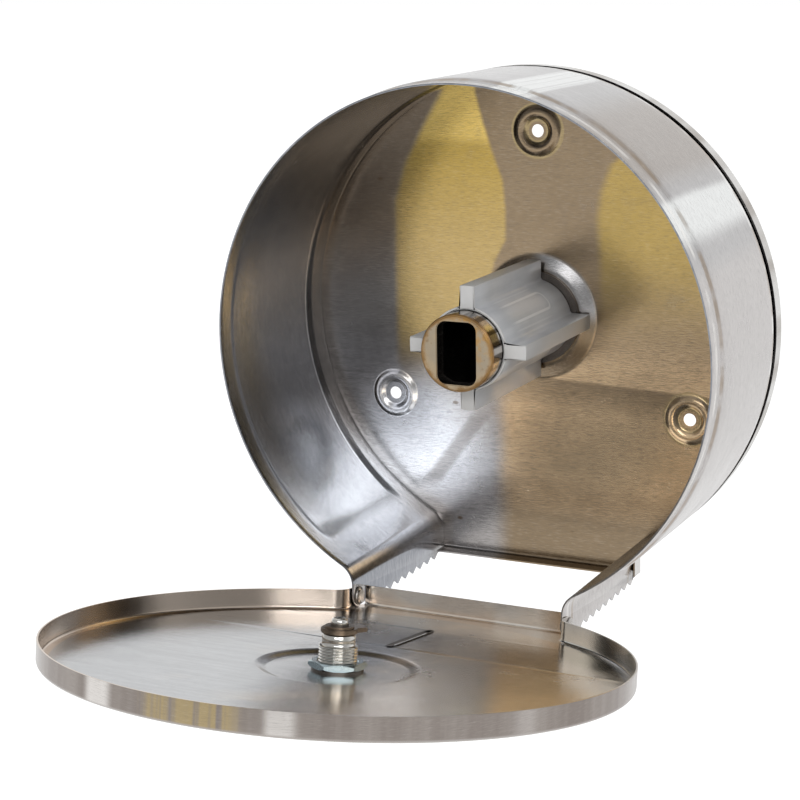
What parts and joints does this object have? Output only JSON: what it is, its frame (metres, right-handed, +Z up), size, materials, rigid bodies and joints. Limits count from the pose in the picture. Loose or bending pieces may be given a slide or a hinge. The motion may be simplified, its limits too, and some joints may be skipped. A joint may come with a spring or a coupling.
{
  "type": "toilet roll dispenser",
  "caption": "Wall-mounted stainless drum dispenser for jumbo toilet rolls, with a finned core sleeve on a spindle, a serrated paper mouth and a hinged, key-locked cover.",
  "frame": {"origin": "on the drum's axis at the wall, which is the centre of the circle of the wall screw holes", "axes": "+X to the right seen from the front, +Y into the wall, +Z up; the drum's axis runs along Y"},
  "size_m": [0.2528, 0.3494, 0.2591],
  "materials": {
    "pan_steel": "horizontal brushed grain, warm reflections",
    "drum_steel": "fine brushed grain round the drum",
    "cover_steel": "bright brushed grain",
    "spindle_steel": "plain satin steel",
    "cap_plate": "bright plate with a rust tint at its edge",
    "catch_steel": "dull steel",
    "sleeve_metal": "satin extruded metal",
    "rivet_steel": "satin steel",
    "dark_washer": "dark oiled steel",
    "nickel": "bright nickel plate",
    "zinc": "bluish zinc plate",
    "bronze_cam": "brown bronzed steel",
    "plug_brass": "plain brass",
    "spring_steel": "bright wire"
  },
  "bodies": {
    "case": {"back_plate": "pan_steel", "drum_wall": "drum_steel", "spindle_flange": "spindle_steel", "spindle_tube": "spindle_steel", "spindle_end_cap": "cap_plate", "lock_catch_plate": "catch_steel", "hinge_rivets": "rivet_steel", "hinge_washers": "dark_washer"},
    "cover": {"cover_panel": "cover_steel", "lock_barrel": "nickel", "lock_nut": "zinc", "lock_washer": "dark_washer"},
    "sleeve": {"core_sleeve": "sleeve_metal"},
    "lock_core": {"lock_plug": "plug_brass", "lock_cam": "bronze_cam", "cam_washer": "bronze_cam", "cam_split_washer": "rivet_steel", "cam_screw": "nickel", "lock_wafers": "plug_brass", "wafer_springs": "spring_steel"}
  },
  "joints": [
    {"name": "cover_hinge", "type": "hinge", "parent": "case", "child": "cover", "pos_m": [0, -0.0999, -0.12521], "axis": [1, 0, 0], "range_deg": [-81, 0]},
    {"name": "sleeve_spin", "type": "hinge", "parent": "case", "child": "sleeve", "pos_m": [0, -0.04655, 0], "axis": [0, 1, 0], "continuous": true},
    {"name": "lock_turn", "type": "hinge", "parent": "cover", "child": "lock_core", "pos_m": [0, -0.22468, -0.11264], "axis": [0, 0.1564, 0.9877], "range_deg": [-60, 30]}
  ]
}
